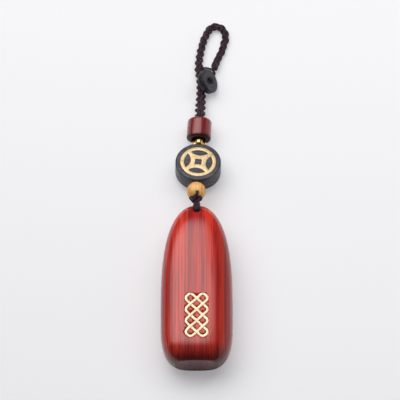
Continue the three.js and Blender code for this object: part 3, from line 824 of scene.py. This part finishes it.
# %% [markdown]
# ## The disc and its coin
# The disc carries an old coin in a pocket: a ring with four leaf openings round a square hole. A leaf is
# what two overlapping cylinders have in common, so the cutter is made by a Boolean intersection. The same
# steps, a tenth of a millimetre larger, make the cutter for the pocket.


# %% Coin
def coin_blank(grow, depth, top):
    middle = top - depth / 2
    coin = bar(7.42 + grow, depth, "Z", (0, 0, middle), 128)
    for i in range(4):
        facing = math.radians(90 * i)
        leaf = bar(5.95 - grow, depth + 2, "Z", (0, 0, middle), 128)
        centre = 7.932 - 1.9 * grow
        place = (centre * math.cos(facing), centre * math.sin(facing), middle)
        combine(leaf, bar(4.778 - 2.9 * grow, depth + 4, "Z", place, 128), "INTERSECT")
        combine(coin, leaf)
    bpy.ops.object.select_all(action="DESELECT")
    side = (2.85 - 2 * grow) * mm
    bpy.ops.mesh.primitive_cube_add(size=1, scale=(side, side, 0.01), location=(0, 0, middle * mm))
    combine(coin, newly_added("square"))
    coin.data.transform(Matrix.Rotation(math.radians(-4.5), 4, "Z"))
    return coin


coin = coin_blank(0, 0.6, 3.79)
soften(coin, 0.1, 2, 40, lambda p: p.z > 3.7)
finished(coin, "coin", disc_frame, coin_gold, "disc_bead", "coin_inlay")

disc = turned_cylinder(9.5, 7.5, 0.6, "Z", 5, 128)
combine(disc, bar(1.2, 30))
combine(disc, bar(1.2, 3, place=(0, 8, 0), far_radius=3.1))
combine(disc, coin_blank(0.12, 2, 3.75 - 0.72 + 2))
finished(disc, "disc_wood_bead", disc_frame, ebony, "disc_bead", "disc_bead", 30)

# %% [markdown]
# ## Gold beads
# Three small seed beads are plated and polished. One is made, and two copies of its mesh follow it, each
# with its own place on the string.

# %% Gold beads
polished_gold = new_finish("polished gold", Metallic=1.0, Roughness=0.3)
tint = noise(polished_gold, object_place(polished_gold), 700, 2)
into_shader(polished_gold, "Base Color", add_ramp(polished_gold, tint, [
    (0.3, (0.86, 0.56, 0.16)), (0.6, (0.95, 0.7, 0.3)),
]))
seed_bead = turned_cylinder(1.5, 2.6, 0.8, "Y", 6, 48)
combine(seed_bead, bar(0.7, 20, count=32))
soften(seed_bead, 0.1, 2, 50)
seed_copies = [seed_bead.copy() for _ in range(2)]
for copy in seed_copies:
    copy.data = seed_bead.data.copy()
    bpy.context.scene.collection.objects.link(copy)
for number, (bead, angle) in enumerate(zip([seed_bead, *seed_copies], (90, 210, 330)), 1):
    around = math.radians(angle)
    place = gold_frame @ Matrix.Translation((1.848 * math.cos(around), 0, 1.848 * math.sin(around)))
    node = f"gold_bead_{number}"
    finished(bead, f"seed_bead_{number}", place, polished_gold, node, node)

# %% [markdown]
# ## The button
# The button is a thin turned disc with a bore, rounder at the back than in front. A dimple in its front holds
# the knot, and a funnel in its back lets the cord in at an angle.

# %% Button
button_thick = 3.1
button = bar(5.15, button_thick, "Z", place=(0, -0.15, 0), count=96)
soften(button, 0.9, 6, 60, lambda p: p.z < 0)
soften(button, 0.5, 5, 60, lambda p: p.z > 1)
choose_and_inset(button, lambda p: abs(p.z) > button_thick / 2 - 0.001)
combine(button, bar(0.9, 10, "Z"))
combine(button, bar(0.9, 0.6, "Z", (0, 0, 1.25), far_radius=1.8))
combine(button, bar(2.5, 1.3, "Z", (0, 0, -0.9), far_radius=0.9))
soften(button, 0.1, 2, 30, lambda p: p.x**2 + p.y**2 < 3**2)
finished(button, "turned_button", button_frame, button_wood, "button", "button")

# %% [markdown]
# ## The rope's route
# The rope's route is its centre line. The thin cords, the button and the small knot go with it.

# %% [markdown]
# ## Floor, lamp and surroundings
# The photograph is a product shot on white. A large softbox hangs above and to the left, so its reflection
# covers the left of every glossy face, and it fades towards its edges as a real one does. A weaker fill
# lamp behind on the right lightens the shadows, and has no reflection of its own. The surroundings are dim,
# with one pale wall on the right, which gives the sides a soft second reflection.

# %% Stage and light
bpy.ops.object.select_all(action="DESELECT")
bpy.ops.mesh.primitive_plane_add(size=6)
floor = newly_added("floor")
paper = new_finish("white paper", Base_Color=(0.9, 0.9, 0.92, 1), Roughness=0.9, Specular_IOR_Level=0.1)
paper_nodes = paper.node_tree
# For the camera the paper also glows a little, and more towards the right: painted light that lifts the floor's shadows
# and evens out its brightness.
level = ramp_along(paper, "X", -0.08, 0.08, 1.0, 1.2)
glow = add_node(paper, "ShaderNodeEmission", {"Color": (0.985, 0.985, 1.02, 1), "Strength": level})
seen = add_node(paper, "ShaderNodeLightPath", {}).outputs["Is Camera Ray"]
lit_and_glow = add_node(paper, "ShaderNodeMixShader", {"Fac": maths(paper, "MULTIPLY", seen, 0.27)})
paper_nodes.links.new(paper_nodes.nodes["Principled BSDF"].outputs[0], lit_and_glow.inputs[1])
paper_nodes.links.new(glow.outputs[0], lit_and_glow.inputs[2])
paper_nodes.links.new(lit_and_glow.outputs[0], paper_nodes.nodes["Material Output"].inputs["Surface"])
floor.data.materials.append(paper)

lamp_height = 0.8
lamp_radiance = 3.0


def on_lamp(degrees):
    return math.tan(math.radians(degrees)) * lamp_height


lamp_reach = {"X": (-66, -28, -6, 33), "Y": (-8, 9, 42, 61)}
lamp_shift = 0.016
low_x, low_y, high_x, high_y = (on_lamp(lamp_reach[axis][end]) for end in (0, 3) for axis in "XY")
bpy.ops.object.light_add(
    type="AREA", location=((low_x + high_x) / 2, (low_y + high_y) / 2 + lamp_shift, lamp_height + 0.018)
)
softbox = bpy.context.object
softbox.data.shape = "RECTANGLE"
softbox.data.size, softbox.data.size_y = high_x - low_x, high_y - low_y
softbox.data.color = (1, 0.99, 0.98)
softbox.data.energy = lamp_radiance * math.pi * softbox.data.size * softbox.data.size_y
softbox.data.use_nodes = True
place = add_node(softbox.data, "ShaderNodeNewGeometry", {}).outputs["Position"]
place = add_node(softbox.data, "ShaderNodeSeparateXYZ", {"Vector": place})
strength = 1.0
for axis, shift in (("X", 0), ("Y", lamp_shift)):
    start, full, fades, stop = (on_lamp(degrees) + shift for degrees in lamp_reach[axis])
    for outer, inner in ((start, full), (stop, fades)):
        inputs = {"Value": place.outputs[axis], 1: outer, 2: inner}
        edge = add_node(softbox.data, "ShaderNodeMapRange", inputs, interpolation_type="SMOOTHSTEP")
        strength = maths(softbox.data, "MULTIPLY", edge.outputs[0], strength)
softbox.data.node_tree.links.new(strength, softbox.data.node_tree.nodes["Emission"].inputs["Strength"])
print("lamp:", round(softbox.data.energy, 1), "W")

bpy.ops.object.light_add(type="AREA", location=(0.5, 0.45, 0.75))
fill = bpy.context.object
fill.rotation_euler = (Vector((0, 0.06, 0)) - fill.location).to_track_quat("-Z", "Y").to_euler()
fill.data.shape = "DISK"
fill.data.size = 0.5
fill.data.energy = 1.5
fill.visible_glossy = False

world = bpy.data.worlds.new("studio")
bpy.context.scene.world = world
world.use_nodes = True
sky = world.node_tree.nodes["Background"]
sky.inputs["Strength"].default_value = 1
way = add_node(world, "ShaderNodeTexCoord", {}).outputs["Generated"]
way_parts = add_node(world, "ShaderNodeSeparateXYZ", {"Vector": way})
right_wall = add_ramp(world, way_parts.outputs["X"], [
    (0, (0.06, 0.06, 0.065)), (0.72, (0.08, 0.08, 0.085)), (0.9, (0.62, 0.62, 0.62)), (1, (0.62, 0.62, 0.62)),
])
seen = add_node(world, "ShaderNodeLightPath", {}).outputs["Is Camera Ray"]
backdrop = add_node(world, "ShaderNodeMix", {"Factor": seen, 6: right_wall, 7: (0.89, 0.89, 0.91, 1)}, data_type="RGBA")
world.node_tree.links.new(backdrop.outputs[2], sky.inputs["Color"])
print("stage and light are set")
